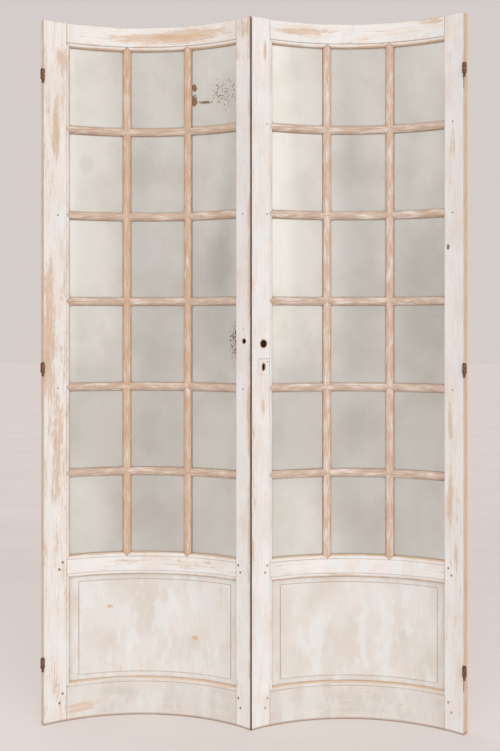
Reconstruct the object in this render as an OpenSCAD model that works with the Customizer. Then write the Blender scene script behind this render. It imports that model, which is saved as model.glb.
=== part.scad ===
// Pair of bowed french doors, mirror glazed, on pin hinges.
// Each leaf is bowed away from the viewer: its two long edges stand nearest, its middle furthest.
// Origin: floor level, midway between the leaves and halfway through the depth.
// +X is the viewer's right, +Y away from the viewer, +Z up. Millimetres.

/* [Leaf] */
// Height of a leaf
leaf_h = 2450; // [1900:10:2800]
// Width of a leaf, straight across its two front corners
leaf_w = 720; // [560:5:900]
// Radius of the bowed front face
bow_r = 526; // [460:2:1400]
// Thickness of stiles and rails
leaf_t = 36; // [32:1:50]
// Gap between the two leaves
meet_gap = 3; // [2.5:0.5:8]
// Slant of the hinge edges away from straight back, in degrees
edge_slant = 26; // [0:1:34]

/* [Stiles] */
// Width of the left leaf's hinge stile, along the face and with its moulding
left_hinge_w = 103; // [80:1:130]
// Width of the left leaf's meeting stile
left_meet_w = 69; // [62:1:110]
// Width of the right leaf's hinge stile
right_hinge_w = 77; // [70:1:130]
// Width of the right leaf's meeting stile, which holds the lock
right_meet_w = 93; // [88:1:120]

/* [Rails] */
// Height of the top rail with its moulding
top_rail_h = 83; // [60:1:140]
// Height of the lock rail's lower edge above the floor
lock_rail_z = 500; // [400:5:900]
// Height of the lock rail with both mouldings
lock_rail_h = 80; // [70:1:140]
// Height of the bottom rail with its moulding
bottom_rail_h = 133; // [90:1:220]
// Length of a tenon
tenon_l = 34; // [20:1:40]
// Thickness of a tenon and of the panel groove
tenon_t = 12; // [8:1:14]
// Clearance of a tenon in its mortise
tenon_clear = 0.1; // [0.05:0.05:0.3]

/* [Moulding and bars] */
// Width of the moulded lip round glass and panel, and of the rebate behind it
lip_w = 15; // [10:1:20]
// Step from the face down to the moulding
quirk = 2; // [1:0.5:3]
// Radius of the quarter round on the lip
ovolo_r = 10; // [6:0.5:11]
// Width of a glazing bar
bar_w = 30; // [22:1:36]
// Radius of a bar's rounded front
bar_round = 16.5; // [15.5:0.5:24]
// Thickness of the bar's tongue between two panes
tongue_t = 10; // [6:1:14]
// Depth of the bar's tongue behind the face
tongue_d = 32; // [26:1:34]
// Rows of panes
rows = 6; // [3:1:8]

/* [Glass] */
// Depth of the glass seat behind the face
seat_d = 14; // [13:0.5:18]
// Thickness of the mirror glass
glass_t = 4; // [3:0.5:6]
// Gap between the seat and the curved glass
glass_gap = 0.3; // [0.2:0.1:1]
// Gap round a pane in its rebate
pane_clear = 1.5; // [0.5:0.5:3]
// Width of the putty behind a pane
putty_w = 8; // [5:1:10]
// Thickness of the putty
putty_t = 8; // [4:1:10]

/* [Panel] */
// Thickness of the panel
panel_t = 11.6; // [8:0.1:13]
// How deep the panel's edge sits in its groove
panel_in = 9; // [6:1:12]
// Height of the raised field above the border
field_rise = 3; // [1:0.5:4]
// Border beside the field, along the face
field_side = 34; // [20:1:60]
// Border above and below the field
field_end = 19; // [12:1:60]

/* [Pegs] */
// Radius of a tenon peg
peg_r = 3.8; // [3:0.1:5]
// Length of a peg
peg_l = 30; // [20:1:34]
// Clearance of a peg in its hole
peg_clear = 0.05; // [0:0.05:0.2]

/* [Hinges] */
// Radius of a hinge barrel
barrel_r = 7.5; // [6:0.5:10]
// Length of the barrel left on the leaf
barrel_l = 30; // [24:1:60]
// Radius of a hinge pin
pin_r = 4; // [3:0.5:5]
// Radial clearance of the barrel on its pin
pin_clear = 0.06; // [0.02:0.01:0.1]
// Length of the pin's thinner free end below the barrel
pin_free = 12; // [8:1:40]
// Height of the pin's head
pin_head = 5; // [3:1:8]
// Thickness of the hinge wing let into the stile
wing_t = 2.4; // [2:0.1:3]
// Reach of the wing from the pin's axis
wing_l = 27; // [20:1:36]
// Height of the middle of the bottom hinge's barrel
hinge_bottom_z = 215; // [120:5:400]
// Height of the middle of the middle hinge's barrel
hinge_mid_z = 1240; // [900:5:1500]
// How far the middle of the top hinge's barrel is below the leaf's top
hinge_top_drop = 192; // [120:1:400]
// Length of the open slot below the right leaf's outer hinges
slot_run = 52; // [20:1:80]

/* [Lock] */
// Distance of spindle and keyhole from the meeting corner, along the face
backset = 52; // [51:0.5:55]
// Height of the handle spindle
spindle_z = 1325; // [900:5:1400]
// Height of the keyhole
keyhole_z = 1245; // [820:5:1320]
// Thickness of the lock case
case_t = 14; // [12:1:16]
// Thickness of the lock's sheet iron
sheet_t = 1.5; // [1:0.1:2]
// Travel of the latch
latch_run = 12; // [8:1:12]
// Travel of the dead bolt
bolt_run = 14; // [10:1:14]
// Turn of the follower for the latch's travel, in degrees
follower_turn = 26; // [20:1:28]
// Gap between the lock's sliding and turning pieces
lock_clear = 0.4; // [0.3:0.05:0.6]
// Side of the square spindle hole
spindle_sq = 8; // [7:1:9]
// Radius of the hole for the spindle in the wood
spindle_hole_r = 12; // [9:0.5:13]
// Radius of the old knob hole in the left meeting stile
knob_hole_r = 8; // [5:0.5:9]
// Thickness of the let-in keyhole patch
patch_t = 5; // [3:0.5:7]

/* [Hidden] */
fine = 360;                                     // for every curve that must be round
half = asin(leaf_w / 2 / bow_r);                // half the leaf's angle about the bow's axis
arc_l = 2 * half * PI / 180 * bow_r;            // length of the front face, corner to corner
pin_x = -(meet_gap / 2 + leaf_w + 2);           // hinge axis of the left leaf
corner_y = -(leaf_t + bow_r * (1 - cos(half)) - 5 - barrel_r) / 2;  // front corners
pin_y = corner_y - 5;
axis_x = -(meet_gap + leaf_w) / 2;              // the bow's axis, left leaf
axis_y = corner_y - bow_r * cos(half);
glass_z0 = lock_rail_z + lock_rail_h;
glass_z1 = leaf_h - top_rail_h;
pane_h = (glass_z1 - glass_z0 - (rows - 1) * bar_w) / rows;
mitre_in = 0.05;                                // the mitres stop this far short of the shoulder's corner
point_in = 0.3;                                 // a bar's point stops this far short of the shoulder
flare = bar_w / 2 * (lip_w + 3 - point_in) / (lip_w - point_in);
tenon_end = 12;                                 // wood left beside a tenon at a leaf's end
case_d = seat_d - 3;                            // depth of the lock case behind the face
lock_a = half - backset / bow_r * 180 / PI;     // angle of spindle and keyhole
case_z0 = keyhole_z - 50;
case_z1 = spindle_z + 50;
arm_z = 24.5;                                   // the follower's arm meets the latch tail here
hinge_top_z = leaf_h - hinge_top_drop;
hinge_zs = [hinge_bottom_z, hinge_mid_z, hinge_top_z];
free_r = pin_r - 0.2;                           // radius of the pins' free ends

function ang(u) = -half + u / bow_r * 180 / PI;  // angle of a point u along the face from the hinge corner
function hw(s) = s == "left" ? left_hinge_w : right_hinge_w;
function mw(s) = s == "left" ? left_meet_w : right_meet_w;
// the stile on the right of each leaf has a plain square edge instead of a moulded lip
function lh(s) = s == "left" ? lip_w : 0;
function lm(s) = s == "left" ? 0 : lip_w;
function a_hs(s) = ang(hw(s) - lh(s));           // hinge stile's shoulder
function a_ms(s) = ang(arc_l - mw(s) + lm(s));   // meeting stile's shoulder
function pane_w(s) = (arc_l - hw(s) - mw(s) - 2 * bar_w) / 3;
function bar_u(s, i) = hw(s) + i * pane_w(s) + (i - 0.5) * bar_w;
// where the meeting edge crosses the lock's frame, at depth d
function meet_x(d) = (-meet_gap / 2 - axis_x - (bow_r + d) * sin(lock_a)) / cos(lock_a);
function bar_z(j) = glass_z0 + j * pane_h + (j - 0.5) * bar_w;

// ---------- frames of reference ----------
// Every leaf piece is built for the left leaf; the right leaf is its mirror image.
module leaf(s) { if (s == "left") children(); else mirror([1, 0, 0]) children(); }
// x along the face at angle a, y outwards from the bow's axis
module at_face(a) translate([axis_x, axis_y, 0]) rotate([0, 0, -a]) children();
// a profile (radius, height) swept from angle a0 to a1
module sweep_arc(a0, a1)
    translate([axis_x, axis_y, 0]) rotate([0, 0, 90 - a1])
        rotate_extrude(angle = a1 - a0, $fn = fine) children();
// a block between two angles, two depths and two heights
module block(a0, a1, d0, d1, z0, z1)
    sweep_arc(a0, a1) translate([bow_r + d0, z0]) square([d1 - d0, z1 - z0]);
// a prism through the mouldings, outlined on the face as [distance along, height]
module prism(a, dir, pts, d0 = -5, d1 = seat_d)
    at_face(a) translate([0, bow_r + d1, 0]) rotate([90, 0, 0])
        linear_extrude(d1 - d0) polygon([for (p = pts) [dir * p[0], p[1]]]);
// a round hole or peg square to the face
module radial(a, z, r, d0, d1)
    at_face(a) translate([0, bow_r + d0, z]) rotate([-90, 0, 0])
        cylinder(r = r, h = d1 - d0, $fn = 96);
// the lock's frame: x towards the meeting edge from the spindle, y depth behind the face
module at_lock() at_face(lock_a) translate([0, bow_r, 0]) children();
module beyond_meeting(inset = 0)                 // everything past the meeting edge
    translate([-meet_gap / 2 - inset, -600, -10]) cube([400, 1200, leaf_h + 20]);
module beyond_hinge()                            // everything past the slanted hinge edge
    translate([axis_x - leaf_w / 2, corner_y, 0]) rotate([0, 0, edge_slant])
        translate([-300, -200, -10]) cube([300, 500, leaf_h + 20]);

// ---------- profiles: [distance from the shoulder, depth behind the face] ----------
module lip_profile() {
    translate([-1, quirk]) square([lip_w - ovolo_r + 1, seat_d - quirk]);
    translate([-1, quirk + ovolo_r]) square([lip_w + 1, seat_d - quirk - ovolo_r]);
    intersection() {
        translate([lip_w - ovolo_r, quirk + ovolo_r]) circle(ovolo_r, $fn = fine);
        translate([lip_w - ovolo_r - 1, quirk]) square([ovolo_r + 1, ovolo_r + 1]);
    }
}
module bar_profile() {
    intersection() {
        translate([0, quirk + bar_round]) circle(bar_round, $fn = fine);
        translate([-bar_w / 2, 0]) square([bar_w, seat_d]);
    }
    translate([-tongue_t / 2, seat_d - 1]) square([tongue_t, tongue_d - seat_d + 1]);
}

// ---------- mitres and notches of the mouldings ----------
// corner of an opening, z its sight edge, v +1 at the top and -1 at the bottom
module stile_mitre(a, dir, z, v)                 // taken off the stile's lip
    prism(a, dir, [[-2, z + v * (lip_w - mitre_in + 2)], [lip_w + 3, z - v * (3 + mitre_in)],
                   [lip_w + 3, z + v * (lip_w + 5)], [-2, z + v * (lip_w + 5)]], d1 = seat_d + 1);
module rail_mitre(a, dir, z, v)                  // taken off the rail's lip
    prism(a, dir, [[-3, z + v * (lip_w - mitre_in + 3)], [lip_w + 3, z - v * (3 + mitre_in)],
                   [-3, z - v * (3 + mitre_in)]], d1 = seat_d + 1);
// a bar's pointed end, apex near the shoulder, and the notch that takes it
module stile_notch(a, dir, z)
    prism(a, dir, [[point_in, z], [lip_w + 3, z + flare], [lip_w + 3, z - flare]], d1 = seat_d + 1);
module rail_notch(a, z, v)
    prism(a, 1, [[-flare, z - v * 3], [0, z + v * (lip_w - point_in)], [flare, z - v * 3]], d1 = seat_d + 1);

// ---------- stiles ----------
module stile_lip(a, dir, z0, z1)
    difference() {
        at_face(a) translate([0, bow_r, z0 - lip_w - 1])
            linear_extrude(z1 - z0 + 2 * lip_w + 2) mirror([dir < 0 ? 1 : 0, 0]) lip_profile();
        stile_mitre(a, dir, z1, 1);
        stile_mitre(a, dir, z0, -1);
    }
module glass_rebate(a, dir) {                    // behind a square-edged stile's sight edge
    a1 = a - dir * lip_w / bow_r * 180 / PI;
    block(min(a, a1) - (dir < 0 ? 0.1 : 0), max(a, a1) + (dir > 0 ? 0.1 : 0), seat_d, leaf_t + 3,
          glass_z0 - lip_w, glass_z1 + lip_w);
}
module mortises(a, dir) {                        // for the three rails and the panel
    c = tenon_clear;
    a1 = a - dir * (tenon_l + 1) / bow_r * 180 / PI;
    a2 = a - dir * (panel_in + 1) / bow_r * 180 / PI;
    lo = min(a, a1); hi = max(a, a1);
    for (z = tenon_zs())
        block(lo, hi, seat_d - c, seat_d + tenon_t + c, z[0] - c, z[1] + c);
    block(min(a, a2), max(a, a2), seat_d - c, seat_d + tenon_t + c,
          bottom_rail_h - lip_w - panel_in - 1, lock_rail_z + lip_w + panel_in + 1);
}
function tenon_zs() = [
    [tenon_end, bottom_rail_h - lip_w - 14],
    [lock_rail_z + lip_w + panel_in + 2, glass_z0 - lip_w - 3],
    [glass_z1 + lip_w + 3, leaf_h - tenon_end]
];
module pegs(s, extra) {                          // two pegs a tenon at the lock and bottom rails
    for (z = [[glass_z0 - 22, lock_rail_z + 34], [bottom_rail_h - 35, bottom_rail_h - 67]], i = [0, 1])
        for (a = [ang(hw(s) - lh(s) - 15 - i * 12), ang(arc_l - mw(s) + lm(s) + 10 + i * 9)])
            radial(a, z[i], peg_r + extra, extra > 0 ? -3 : 0.6, extra > 0 ? peg_l + 1 : peg_l);
}
module hinge_stile(s)
    difference() {
        union() {
            block(-half, a_hs(s), 0, leaf_t, 0, leaf_h);
            if (lh(s) > 0) {
                stile_lip(a_hs(s), 1, glass_z0, glass_z1);
                stile_lip(a_hs(s), 1, bottom_rail_h, lock_rail_z);
            }
        }
        beyond_hinge();
        mortises(a_hs(s), 1);
        pegs(s, peg_clear);
        if (lh(s) > 0) for (j = [1 : rows - 1]) stile_notch(a_hs(s), 1, bar_z(j));
        else glass_rebate(a_hs(s), 1);
        for (z = hinge_zs) hinge_seat(z);
        if (s == "right") for (z = [hinge_bottom_z, hinge_top_z])
            wing(z - barrel_l / 2 - slot_run / 2, wing_t + 0.6, 22, slot_run);
    }
module meeting_stile(s)
    difference() {
        union() {
            block(a_ms(s), half, 0, leaf_t, 0, leaf_h);
            if (lm(s) > 0) {
                stile_lip(a_ms(s), -1, glass_z0, glass_z1);
                stile_lip(a_ms(s), -1, bottom_rail_h, lock_rail_z);
            }
        }
        beyond_meeting();
        mortises(a_ms(s), -1);
        pegs(s, peg_clear);
        if (lm(s) > 0) for (j = [1 : rows - 1]) stile_notch(a_ms(s), -1, bar_z(j));
        else glass_rebate(a_ms(s), -1);
        if (s == "left") {
            radial(ang(arc_l - 32), spindle_z + 9, knob_hole_r, -3, 24);
            mirror([1, 0, 0]) keep_pockets();
        } else lock_mortise();
    }

// ---------- rails ----------
module rail(s, z0, z1, up, down, t)
    difference() {
        union() {
            sweep_arc(a_hs(s), a_ms(s)) {
                translate([bow_r, z0 + (down ? lip_w : 0)])
                    square([leaf_t, z1 - z0 - (down ? lip_w : 0) - (up ? lip_w : 0)]);
                if (up) translate([bow_r, z1 - lip_w]) mirror([1, -1]) lip_profile();
                if (down) translate([bow_r, z0 + lip_w]) mirror([0, 1]) mirror([1, -1]) lip_profile();
            }
            block(a_hs(s) - tenon_l / bow_r * 180 / PI, a_ms(s) + tenon_l / bow_r * 180 / PI,
                  seat_d, seat_d + tenon_t, t[0], t[1]);
        }
        pegs(s, peg_clear);
        if (up && lh(s) > 0) rail_mitre(a_hs(s), 1, z1, -1);
        if (up && lm(s) > 0) rail_mitre(a_ms(s), -1, z1, -1);
        if (down && lh(s) > 0) rail_mitre(a_hs(s), 1, z0, 1);
        if (down && lm(s) > 0) rail_mitre(a_ms(s), -1, z0, 1);
        if (up && z1 == glass_z0) for (i = [1, 2]) rail_notch(ang(bar_u(s, i)), z1, -1);
        if (down && z0 == glass_z1) for (i = [1, 2]) rail_notch(ang(bar_u(s, i)), z0, 1);
        if (z1 < glass_z1)                       // the panel's groove
            block(a_hs(s) - 0.2, a_ms(s) + 0.2, seat_d + tenon_clear, seat_d + tenon_t + tenon_clear,
                  z1 == bottom_rail_h ? z1 - lip_w - panel_in - 1 : z0 + lip_w - 1,
                  z1 == bottom_rail_h ? z1 - lip_w + 1 : z0 + lip_w + panel_in + 1);
    }
module top_rail(s) rail(s, glass_z1, leaf_h, false, true, tenon_zs()[2]);
module lock_rail(s) rail(s, lock_rail_z, glass_z0, true, true, tenon_zs()[1]);
module bottom_rail(s) rail(s, 0, bottom_rail_h, true, false, tenon_zs()[0]);

// ---------- panel ----------
module panel(s) {
    in_a = panel_in / bow_r * 180 / PI;
    side_h = (lh(s) + field_side) / bow_r * 180 / PI;
    side_m = (lm(s) + field_side) / bow_r * 180 / PI;
    d0 = seat_d + (tenon_t - panel_t) / 2;
    block(a_hs(s) - in_a, a_ms(s) + in_a, d0, d0 + panel_t,
          bottom_rail_h - lip_w - panel_in, lock_rail_z + lip_w + panel_in);
    block(a_hs(s) + side_h, a_ms(s) - side_m, d0 - field_rise, d0 + 1,
          bottom_rail_h + field_end, lock_rail_z - field_end);
}

// ---------- glazing bars: mitred in front, halved behind ----------
half_d = (seat_d + tongue_d) / 2;
neck = 0.8;
module upright_bar(s, i) {
    a = ang(bar_u(s, i));
    difference() {
        at_face(a) translate([0, bow_r, glass_z0 - lip_w])
            linear_extrude(glass_z1 - glass_z0 + 2 * lip_w) bar_profile();
        for (v = [-1, 1], d = [-1, 1]) {
            z = v > 0 ? glass_z1 : glass_z0;
            prism(a, d, [[0, z + v * (lip_w - point_in)], [flare, z - v * 3], [flare + 3, z - v * 3],
                         [flare + 3, z + v * (lip_w + 3)], [0, z + v * (lip_w + 3)]]);
        }
        for (j = [1 : rows - 1]) {
            z = bar_z(j);
            prism(a, 1, [[-bar_w / 2 - 1, z - bar_w / 2 - 1], [0, z - neck], [bar_w / 2 + 1, z - bar_w / 2 - 1],
                         [bar_w / 2 + 1, z + bar_w / 2 + 1], [0, z + neck], [-bar_w / 2 - 1, z + bar_w / 2 + 1]]);
            prism(a, 1, [[-9, z - tongue_t / 2 - 0.05], [9, z - tongue_t / 2 - 0.05],
                         [9, z + tongue_t / 2 + 0.05], [-9, z + tongue_t / 2 + 0.05]], seat_d - 0.5, half_d);
        }
    }
}
module cross_bar(s, j) {
    z = bar_z(j);
    difference() {
        union() {
            sweep_arc(a_hs(s), a_ms(s)) translate([bow_r, z]) mirror([1, -1]) bar_profile();
            // at the square-edged stile the bar butts, and its tongue runs on into the rebate
            block(lh(s) > 0 ? a_ms(s) - 1 : a_hs(s) - (lip_w - 0.2) / bow_r * 180 / PI,
                  lh(s) > 0 ? a_ms(s) + (lip_w - 0.2) / bow_r * 180 / PI : a_hs(s) + 1,
                  seat_d + 0.5, tongue_d - 0.5, z - tongue_t / 2 + 0.5, z + tongue_t / 2 - 0.5);
        }
        for (v = [-1, 1])
            prism(lh(s) > 0 ? a_hs(s) : a_ms(s), lh(s) > 0 ? 1 : -1,
                  [[point_in, z], [lip_w + 3, z + v * flare], [lip_w + 3, z + v * (flare + 3)],
                   [-3, z + v * (flare + 3)], [-3, z]]);
        for (i = [1, 2]) {
            a = ang(bar_u(s, i));
            for (v = [-1, 1])
                prism(a, 1, [[-bar_w / 2 - 1, z + v * (bar_w / 2 + 1)], [0, z + v * neck],
                             [bar_w / 2 + 1, z + v * (bar_w / 2 + 1)]]);
            prism(a, 1, [[-tongue_t / 2 - 0.05, z - 9], [tongue_t / 2 + 0.05, z - 9],
                         [tongue_t / 2 + 0.05, z + 9], [-tongue_t / 2 - 0.05, z + 9]], half_d, tongue_d + 2);
        }
    }
}

// ---------- glass and putty ----------
function pane_u0(s, i) = i == 0 ? hw(s) - lip_w + pane_clear + 0.5 : bar_u(s, i) + tongue_t / 2 + pane_clear;
function pane_u1(s, i) = i == 2 ? arc_l - mw(s) + lip_w - pane_clear - 0.5 : bar_u(s, i + 1) - tongue_t / 2 - pane_clear;
function pane_z0(j) = j == 0 ? glass_z0 - lip_w + pane_clear : bar_z(j) + tongue_t / 2 + pane_clear;
function pane_z1(j) = j == rows - 1 ? glass_z1 + lip_w - pane_clear : bar_z(j + 1) - tongue_t / 2 - pane_clear;
module pane_row(s, j)
    for (i = [0, 1, 2])
        block(ang(pane_u0(s, i)), ang(pane_u1(s, i)), seat_d + glass_gap, seat_d + glass_gap + glass_t,
              pane_z0(j), pane_z1(j));
module putty(s)
    for (j = [0 : rows - 1], i = [0, 1, 2])
        difference() {
            d = seat_d + glass_gap + glass_t;
            w = putty_w + (i == 0 || i == 2 ? 2 : 0);
            block(ang(pane_u0(s, i)), ang(pane_u1(s, i)), d, d + putty_t, pane_z0(j), pane_z1(j));
            block(ang(pane_u0(s, i) + putty_w), ang(pane_u1(s, i) - putty_w), d - 1, d + putty_t + 1,
                  pane_z0(j) + putty_w, pane_z1(j) - putty_w);
        }

// ---------- hinges ----------
// a plate from the hinge axis into the stile
module wing(z, t, l, h)
    translate([pin_x, pin_y, z]) rotate([0, 0, -8]) translate([-t / 2, 0, -h / 2]) cube([t, l, h]);
module hinge_seat(z) {
    wing(z, wing_t + 0.3, wing_l + 0.5, barrel_l + 0.6);
    translate([pin_x, pin_y, z - barrel_l / 2 - pin_free - 3])
        cylinder(r = barrel_r + 0.6, h = barrel_l + pin_free + pin_head + 5, $fn = 96);
}
module hinge(z)
    difference() {
        union() {
            translate([pin_x, pin_y, z - barrel_l / 2]) cylinder(r = barrel_r, h = barrel_l, $fn = 96);
            difference() {
                wing(z, wing_t, wing_l, barrel_l - 3);
                translate([pin_x, pin_y, z - barrel_l]) cylinder(r = pin_r + 1, h = 2 * barrel_l, $fn = 96);
            }
        }
        translate([pin_x, pin_y, z - barrel_l / 2 - 1])
            cylinder(r = pin_r + pin_clear, h = barrel_l + 2, $fn = 96);
    }
module hinge_pin(z)
    translate([pin_x, pin_y, z + barrel_l / 2]) {
        translate([0, 0, -barrel_l - 1]) cylinder(r = pin_r, h = barrel_l + 2, $fn = 96);
        translate([0, 0, -barrel_l - 1 - pin_free]) cylinder(r = free_r, h = pin_free + 2, $fn = 96);
        translate([0, 0, 0.3]) cylinder(r = barrel_r - 1, h = pin_head, $fn = 96);
    }

// ---------- lock ----------
latch_z0 = spindle_z - 9; latch_z1 = spindle_z + 9;
bolt_z0 = keyhole_z + 7; bolt_z1 = keyhole_z + 22;
bolt_d0 = case_d + sheet_t + 1; bolt_d1 = case_d + case_t - sheet_t - 1;
tail_z0 = spindle_z - arm_z - 7; tail_z1 = spindle_z - arm_z + 3;
forend_t = 2.5;
// the latch's stem stops short of the forend when the latch is out
stem_x = meet_x(bolt_d1) - (forend_t + 0.5) / cos(lock_a) - latch_run - lock_clear;
module lock_slab(x0, x1, d0, d1, z0, z1) at_lock() translate([x0, d0, z0]) cube([x1 - x0, d1 - d0, z1 - z0]);
module lock_round(z, r, d0, d1) at_lock() translate([0, d0, z]) rotate([-90, 0, 0])
    cylinder(r = r, h = d1 - d0, $fn = 96);
module forend(c)                                 // plate let into the meeting edge
    translate([-meet_gap / 2 - forend_t - (c > 0 ? c : 0), corner_y + 9 - c, case_z0 - 16 - c])
        cube([forend_t + (c > 0 ? c + 5 : 0), 32 + 2 * c, case_z1 - case_z0 + 32 + 2 * c]);
module lock_mortise() {                          // everything cut for the lock in its stile
    lock_slab(-20.4, 70, case_d - 0.4, case_d + case_t + 0.4, case_z0 - 0.4, case_z1 + 0.4);
    forend(0.2);
    lock_round(spindle_z, spindle_hole_r, -3, case_d + 1);
    lock_round(spindle_z, spindle_hole_r, case_d + case_t - 1, leaf_t + 5);
    worn_keyhole(-3, case_d + 1);
    keyhole(case_d, leaf_t + 6);
    patch_block(0.1);
    for (z = [case_z0 - 8, case_z1 + 8]) forend_screw(z, 0.05);
}
module keyhole(d0, d1) {
    lock_round(keyhole_z + 4, 3.2, d0, d1);
    lock_slab(-1.6, 1.6, d0, d1, keyhole_z - 10, keyhole_z + 4);
}
module worn_keyhole(d0, d1) {                    // the same hole in the patch, worn to a long oval
    for (v = [-1, 1]) lock_round(keyhole_z + v * 6.5, 4.8, d0, d1);
    lock_slab(-4.4, 4.4, d0, d1, keyhole_z - 6.5, keyhole_z + 6.5);
}
module patch_block(c)
    lock_slab(-24 - c, 22 + c, -6, patch_t + c, keyhole_z - 27 - c, keyhole_z + 28 + c);
module keyhole_patch()                           // a square piece of wood let in round the keyhole
    difference() {
        intersection() { patch_block(0); block(-half, half, 0, leaf_t, 0, leaf_h); }
        worn_keyhole(-8, patch_t + 2);
        at_lock() translate([-16, -6, keyhole_z + 18]) rotate([-90, 0, 0]) cylinder(r = 1.8, h = 20, $fn = 48);
    }
module lock_case()
    difference() {
        union() {
            difference() {
                lock_slab(-20, 70, case_d, case_d + case_t - sheet_t, case_z0, case_z1);
                beyond_meeting(forend_t - 0.5);
            }
            forend(0);
        }
        // inside of the case
        difference() {
            lock_slab(-20 + sheet_t, 70, case_d + sheet_t, case_d + case_t + 1, case_z0 + sheet_t, case_z1 - sheet_t);
            beyond_meeting(forend_t + 0.5);
        }
        lock_slab(10, 80, bolt_d0 - lock_clear, bolt_d1 + lock_clear, latch_z0 - lock_clear, latch_z1 + lock_clear);
        lock_slab(10, 80, bolt_d0 - lock_clear, bolt_d1 + lock_clear, bolt_z0 - lock_clear, bolt_z1 + lock_clear);
        lock_round(spindle_z, 6 + 0.06, case_d - 1, case_d + sheet_t + 1);
        keyhole(case_d - 1, case_d + sheet_t + 1);
        for (z = [case_z0 - 8, case_z1 + 8]) forend_screw(z, 0.05);
    }
module lock_cap()
    difference() {
        lock_slab(-20, 70, case_d + case_t - sheet_t, case_d + case_t, case_z0, case_z1);
        beyond_meeting(forend_t + 0.3);
        lock_round(spindle_z, 6 + 0.06, case_d, case_d + case_t + 1);
        keyhole(case_d, case_d + case_t + 1);
    }
module lock_follower()
    difference() {
        union() {
            lock_round(spindle_z, 9, bolt_d0, bolt_d1);
            lock_round(spindle_z, 6, case_d, case_d + case_t);
            lock_slab(-3, 3, bolt_d0 + 0.5, bolt_d1 - 0.5, spindle_z - arm_z - 2.5, spindle_z);
        }
        lock_slab(-spindle_sq / 2, spindle_sq / 2, case_d - 1, case_d + case_t + 1,
                  spindle_z - spindle_sq / 2, spindle_z + spindle_sq / 2);
    }
module lock_latch()
    difference() {
        union() {
            lock_slab(11, 70, bolt_d0, bolt_d1, latch_z0, latch_z1);
            lock_slab(11, stem_x, bolt_d0, bolt_d1, tail_z0, latch_z1);
            lock_slab(-12, stem_x, bolt_d0, bolt_d1, tail_z0, tail_z1);
        }
        beyond_meeting(0);
        lock_slab(-5.6, 5.6, bolt_d0 - 1, bolt_d1 + 1, spindle_z - arm_z - 3.2, tail_z1 + 1);
    }
module dead_bolt()
    difference() {
        lock_slab(-14, 70, bolt_d0, bolt_d1, bolt_z0, bolt_z1);
        beyond_meeting(0);
        lock_slab(-3.5, 3.5, bolt_d0 - 1, bolt_d1 + 1, bolt_z0 - 1, bolt_z0 + 5);
    }
module forend_screw(z, c)
    translate([-meet_gap / 2 - 18, corner_y + 28, z]) rotate([0, 90, 0]) {
        cylinder(r = 1.8 + c, h = 17, $fn = 48);
        translate([0, 0, 16.2]) cylinder(r = 3.4 + c, h = 1.8 + (c > 0 ? 2 : 0), $fn = 48);
    }
module keep_pockets() {                          // where latch and bolt enter the other leaf
    lock_slab(20, meet_x(bolt_d0) + latch_run + 1.5, bolt_d0 - 1, bolt_d1 + 1, latch_z0 - 1, latch_z1 + 1);
    lock_slab(20, meet_x(bolt_d0) + bolt_run + 1.5, bolt_d0 - 1, bolt_d1 + 1, bolt_z0 - 1, bolt_z1 + 1);
}

// ---------- colours ----------
paint = "#E7E1D8"; bare = "#D6B08A"; iron = "#6E4A36"; mirror_grey = "#C9C8C2"; putty_grey = "#B8AD9C";

// ---------- pieces ----------
module left_hinge_stile() color(paint) leaf("left") hinge_stile("left");
module left_meeting_stile() color(paint) leaf("left") meeting_stile("left");
module left_top_rail() color(paint) leaf("left") top_rail("left");
module left_lock_rail() color(paint) leaf("left") lock_rail("left");
module left_bottom_rail() color(paint) leaf("left") bottom_rail("left");
module left_panel() color(paint) leaf("left") panel("left");
module left_upright_bar_1() color(bare) leaf("left") upright_bar("left", 1);
module left_upright_bar_2() color(bare) leaf("left") upright_bar("left", 2);
module left_cross_bar_1() color(bare) leaf("left") cross_bar("left", 1);
module left_cross_bar_2() color(bare) leaf("left") cross_bar("left", 2);
module left_cross_bar_3() color(bare) leaf("left") cross_bar("left", 3);
module left_cross_bar_4() color(bare) leaf("left") cross_bar("left", 4);
module left_cross_bar_5() color(bare) leaf("left") cross_bar("left", 5);
module left_mirrors_1() color(mirror_grey) leaf("left") pane_row("left", 0);
module left_mirrors_2() color(mirror_grey) leaf("left") pane_row("left", 1);
module left_mirrors_3() color(mirror_grey) leaf("left") pane_row("left", 2);
module left_mirrors_4() color(mirror_grey) leaf("left") pane_row("left", 3);
module left_mirrors_5() color(mirror_grey) leaf("left") pane_row("left", 4);
module left_mirrors_6() color(mirror_grey) leaf("left") pane_row("left", 5);
module left_putty() color(putty_grey) leaf("left") putty("left");
module left_pegs() color(bare) leaf("left") pegs("left", 0);
module left_hinge_bottom() color(iron) leaf("left") hinge(hinge_bottom_z);
module left_hinge_middle() color(iron) leaf("left") hinge(hinge_mid_z);
module left_hinge_top() color(iron) leaf("left") hinge(hinge_top_z);
module left_hinge_pins() color(iron) leaf("left") for (z = hinge_zs) hinge_pin(z);
module right_hinge_stile() color(paint) leaf("right") hinge_stile("right");
module right_meeting_stile() color(paint) leaf("right") meeting_stile("right");
module right_top_rail() color(paint) leaf("right") top_rail("right");
module right_lock_rail() color(paint) leaf("right") lock_rail("right");
module right_bottom_rail() color(paint) leaf("right") bottom_rail("right");
module right_panel() color(paint) leaf("right") panel("right");
module right_upright_bar_1() color(bare) leaf("right") upright_bar("right", 1);
module right_upright_bar_2() color(bare) leaf("right") upright_bar("right", 2);
module right_cross_bar_1() color(bare) leaf("right") cross_bar("right", 1);
module right_cross_bar_2() color(bare) leaf("right") cross_bar("right", 2);
module right_cross_bar_3() color(bare) leaf("right") cross_bar("right", 3);
module right_cross_bar_4() color(bare) leaf("right") cross_bar("right", 4);
module right_cross_bar_5() color(bare) leaf("right") cross_bar("right", 5);
module right_mirrors_1() color(mirror_grey) leaf("right") pane_row("right", 0);
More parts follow.
